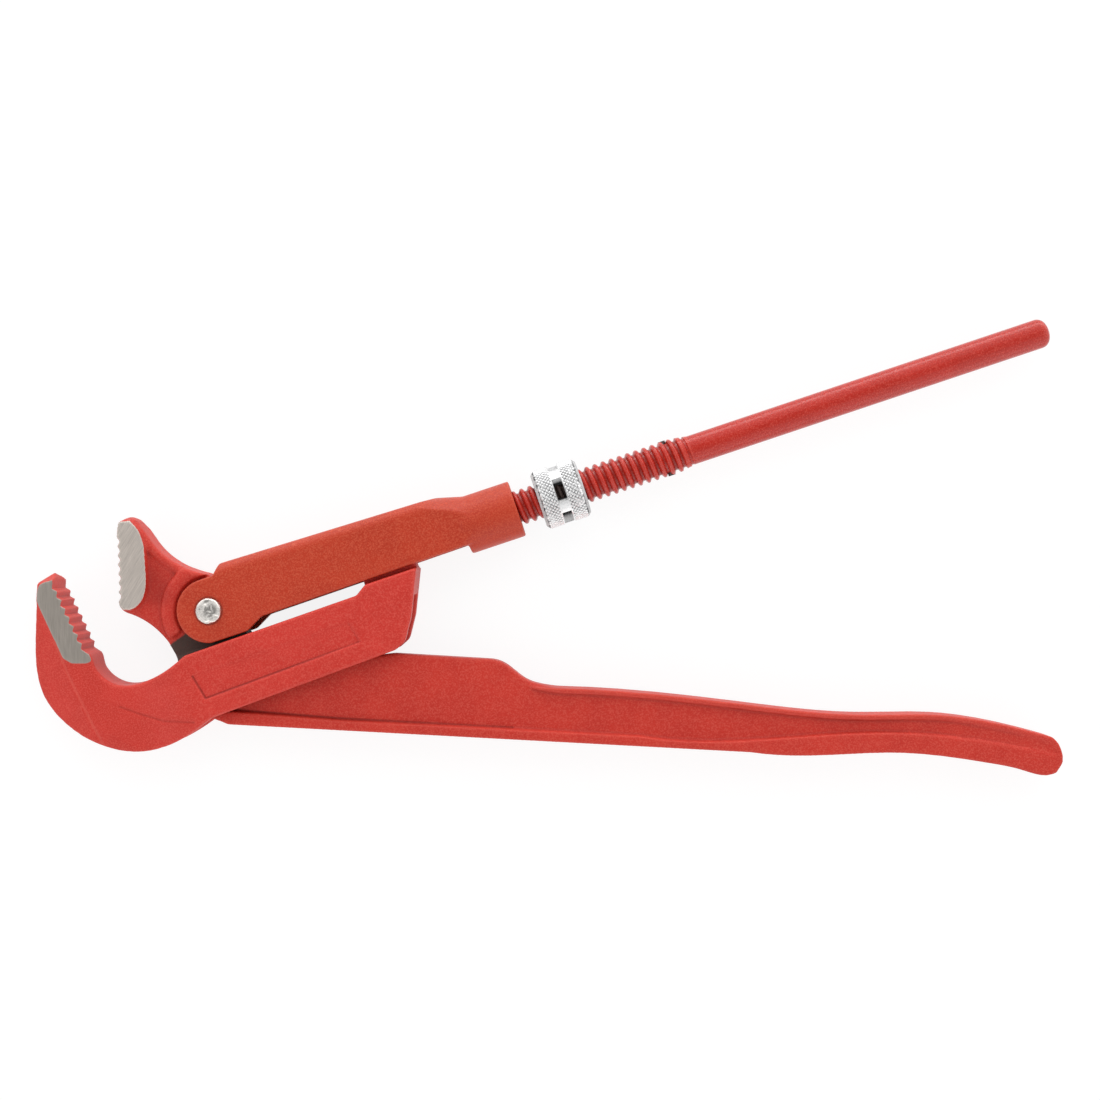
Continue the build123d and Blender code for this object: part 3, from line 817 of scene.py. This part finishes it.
# %% Spin the rivet
head_radius = (rivet_high.x - rivet_low.x) / 2
shank_radius = 4.0 * millimetre
head_foot = 11.25 * millimetre
head_top = rivet_high.z - mid_height
tail_end = rivet_low.z - mid_height
tail_foot = tail_end + 1.0 * millimetre
dome_steps = 16
rivet_turn_steps = 64
section = [
    (0.0, tail_end),
    (head_radius - 1.4 * millimetre, tail_end),
    (head_radius - 0.3 * millimetre, tail_foot),
    (shank_radius, tail_foot),
    (shank_radius, head_foot),
]
for step in range(dome_steps + 1):
    lean = step / dome_steps * math.pi / 2
    section.append((head_radius * math.cos(lean), head_foot + (head_top - head_foot) * math.sin(lean)))
rivet_shape = bmesh.new()
points = [rivet_shape.verts.new((r, 0, z)) for r, z in section]
for first, second in zip(points, points[1:]):
    rivet_shape.edges.new((first, second))
spin_round(rivet_shape, (0, 0, 1), rivet_turn_steps)
print("spun rivet has", len(rivet_shape.faces), "faces")

# %% Dent its head
dent_depth = 0.62 * millimetre
wide_dents, small_dents = 420.0, 900.0
highest_bump = -0.2
for vert in rivet_shape.verts:
    if vert.co.z > head_foot + 0.1 * millimetre:
        dent = noise.noise(Vector((vert.co.x, vert.co.y, 0)) * wide_dents)
        dent += 0.5 * noise.noise(vert.co * small_dents)
        vert.co.z -= dent_depth * max(dent, highest_bump)
hammered_rivet = finished(rivet_shape, "hammered_rivet", pivot, rivet_plate)
hammered_rivet.data.shade_smooth()
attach(hammered_rivet, "link")
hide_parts("pivot_rivet")
print("rivet has", len(hammered_rivet.data.polygons), "faces")

# %% [markdown]
# ## Floor, light and camera
# The tool lies on a plain white floor and the camera looks straight down at it. Where the camera sees the
# floor it glows, so the ground comes out white, and a little of its own colour is left to carry a faint
# shadow. The sky is a light tent: even cloth all round, a bright low wall at the top of the picture, a weaker
# one at its foot and a darker patch overhead where the camera looks in. Flat faces are then lit evenly, and
# round edges catch a line of light from the walls. One soft lamp adds direction; it is hidden from
# reflections, so that only the tent shows in them.

# %% Lay the floor
floor_half, floor_roughness = 3.0, 0.9
lit_grey, seen_grey, seen_glow = 0.93, 0.15, 0.875
floor_shape = bmesh.new()
bmesh.ops.create_grid(floor_shape, x_segments=1, y_segments=1, size=floor_half)
floor_mesh = bpy.data.meshes.new("floor")
floor_shape.to_mesh(floor_mesh)
floor_shape.free()
floor = add_object("floor", floor_mesh)
floor_paper = bpy.data.materials.new("floor_paper")
floor_paper.use_nodes = True
paper = floor_paper.node_tree
paper_finish = paper.nodes["Principled BSDF"]
paper_finish.inputs["Roughness"].default_value = floor_roughness
rays = add_node(paper, "ShaderNodeLightPath").outputs
seen_by = sums(paper, "MAXIMUM", rays["Is Glossy Ray"], rays["Is Transmission Ray"])
seen_by = sums(paper, "MAXIMUM", rays["Is Camera Ray"], seen_by)
paper_colour = mix_colour(paper, seen_by, (lit_grey,) * 3, (seen_grey,) * 3)
paper.links.new(paper_colour, paper_finish.inputs["Base Color"])
paper_finish.inputs["Emission Color"].default_value = (1.0, 1.0, 1.0, 1.0)
paper.links.new(times(paper, seen_by, seen_glow), paper_finish.inputs["Emission Strength"])
floor_mesh.materials.append(floor_paper)
print("floor laid,", 2 * floor_half, "m across")

# %% Aim the camera as the photograph was taken
picture_turn = math.radians(18.515)
picture_right = Vector((math.cos(picture_turn), -math.sin(picture_turn), 0))
picture_up = Vector((math.sin(picture_turn), math.cos(picture_turn), 0))
camera_distance = 0.600
picture_pixels, tool_pixels, tool_length_mm = 1100, 1030, 420
picture_width = picture_pixels * tool_length_mm / tool_pixels * millimetre
aim = pivot + Vector((137.34, -20.29, 0)) * millimetre
camera_data = bpy.data.cameras.new("camera")
camera_data.sensor_fit = "HORIZONTAL"
camera_data.angle = 2 * math.atan(picture_width / 2 / camera_distance)
camera_data.clip_start = 0.01
camera = add_object("camera", camera_data)
turned = Matrix((picture_right, picture_up, Vector((0, 0, 1)))).transposed().to_4x4()
camera.matrix_world = Matrix.Translation(aim + Vector((0, 0, camera_distance))) @ turned
bpy.context.scene.camera = camera
print("camera sees", round(picture_width / millimetre, 1), "mm across")

# %% Hang the light tent
tent_cloth, camera_hole_depth = 0.92, -0.60
top_wall_light, foot_wall_light = 4.5, 1.6
seen_white = 1.05
world = bpy.data.worlds.new("sky")
world.use_nodes = True
sky = world.node_tree
direction = add_node(sky, "ShaderNodeTexCoord").outputs["Generated"]


def towards(way):
    """How far a direction of the sky points one way, from -1 to 1."""
    sockets = {0: direction, 1: way}
    return add_node(sky, "ShaderNodeVectorMath", sockets, operation="DOT_PRODUCT").outputs["Value"]


def wall(lean, strength):
    """Light of a wall that grows towards the side that it stands on."""
    return times(sky, sums(sky, "POWER", sums(sky, "MAXIMUM", lean, 0.0), 2.0), strength)


lift, overhead = towards(picture_up), towards((0, 0, 1))
camera_hole = times(sky, ramp_between(sky, overhead, 0.72, 1.0), camera_hole_depth)
walls = sums(sky, "ADD", wall(lift, top_wall_light), wall(times(sky, lift, -1.0), foot_wall_light))
low_down = sums(sky, "POWER", sums(sky, "SUBTRACT", 1.0, sums(sky, "MAXIMUM", overhead, 0.0)), 4.0)
tone = sums(sky, "ADD", sums(sky, "ADD", times(sky, walls, low_down), camera_hole), tent_cloth)
tone = mix_value(sky, add_node(sky, "ShaderNodeLightPath").outputs["Is Camera Ray"], tone, seen_white)
sky.nodes["Background"].inputs["Color"].default_value = (1.0, 1.0, 1.0, 1.0)
sky.links.new(tone, sky.nodes["Background"].inputs["Strength"])
bpy.context.scene.world = world
print("light tent of", len(sky.nodes), "nodes")

# %% Add the soft lamp
lamp_data = bpy.data.lights.new("soft_lamp", "AREA")
lamp_data.shape = "DISK"
lamp_data.size = 1.0
lamp_data.energy = 3.1
lamp = add_object("soft_lamp", lamp_data)
lamp.visible_glossy = False
lamp_place = aim + picture_up * 0.90 + picture_right * 0.20 + Vector((0, 0, 1.05))
lamp_aim = (aim - lamp_place).to_track_quat("-Z", "Y").to_matrix().to_4x4()
lamp.matrix_world = Matrix.Translation(lamp_place) @ lamp_aim
bpy.context.scene.view_settings.view_transform = "Standard"
print("lamp at", [round(v, 2) for v in lamp_place])
